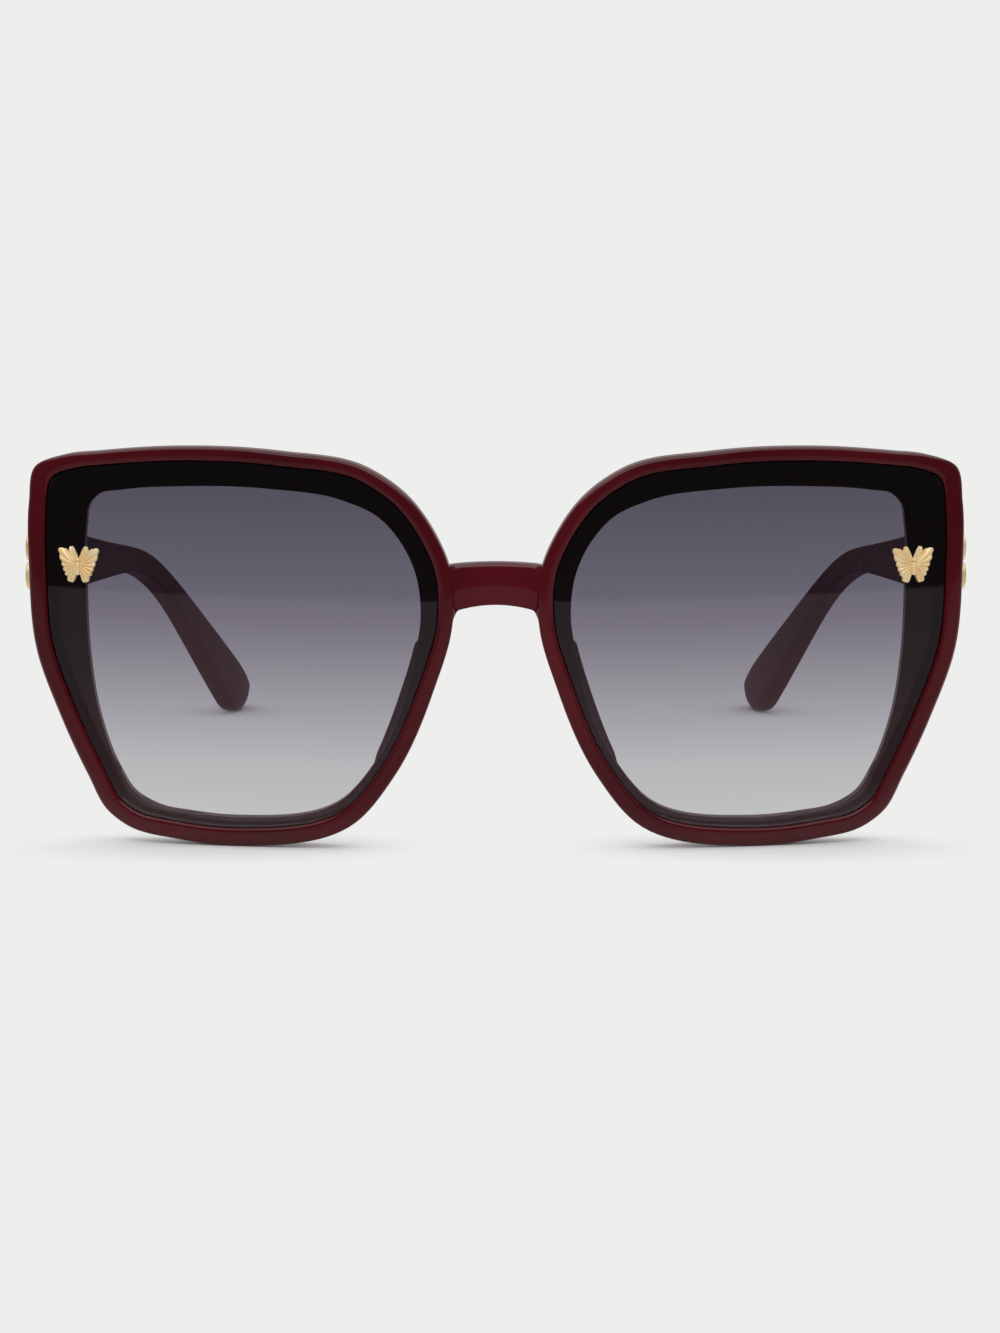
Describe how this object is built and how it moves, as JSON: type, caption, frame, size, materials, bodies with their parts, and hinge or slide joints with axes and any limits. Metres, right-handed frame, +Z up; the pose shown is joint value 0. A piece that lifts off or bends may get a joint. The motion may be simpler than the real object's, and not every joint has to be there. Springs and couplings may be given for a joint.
{
  "type": "sunglasses",
  "caption": "Oversized square sunglasses: bent acetate front, gradient lenses with butterfly trims, and folding temples with downturned tips.",
  "frame": {"origin": "on the surface that the open glasses stand on, under the middle of their overall box", "axes": "+X towards the wearer's left, +Y from the front to the temple tips, +Z up"},
  "size_m": [0.1494, 0.1595, 0.0617],
  "materials": {
    "acetate": "polished dark burgundy acetate",
    "lens": "smoke tint, dark above and paler below, polished",
    "pad": "polished burgundy acetate, a little clearer",
    "gold": "polished pale gold plating",
    "hinge": "satin nickel silver",
    "washer": "natural nylon",
    "screw": "plain steel",
    "wire": "plain drawn wire"
  },
  "bodies": {
    "front": {"front_frame": "acetate", "lens_left": "lens", "lens_right": "lens", "nose_pad_left": "pad", "nose_pad_right": "pad", "butterfly_left": "gold", "butterfly_right": "gold", "hinge_front_left": "hinge", "hinge_front_right": "hinge", "hinge_washers_left": "washer", "hinge_washers_right": "washer", "hinge_screw_left": "screw", "hinge_screw_right": "screw"},
    "temple_arm_left": {"temple_left": "acetate", "temple_hinge_left": "hinge", "core_wire_left": "wire", "temple_ornament_left": "gold"},
    "temple_arm_right": {"temple_right": "acetate", "temple_hinge_right": "hinge", "core_wire_right": "wire", "temple_ornament_right": "gold"}
  },
  "joints": [
    {"name": "fold_left", "type": "hinge", "parent": "front", "child": "temple_arm_left", "pos_m": [0.067, -0.06223, 0.0432], "axis": [0, 0, 1], "range_deg": [0, 82]},
    {"name": "fold_right", "type": "hinge", "parent": "front", "child": "temple_arm_right", "pos_m": [-0.067, -0.06223, 0.0432], "axis": [0, 0, -1], "range_deg": [0, 76]}
  ]
}
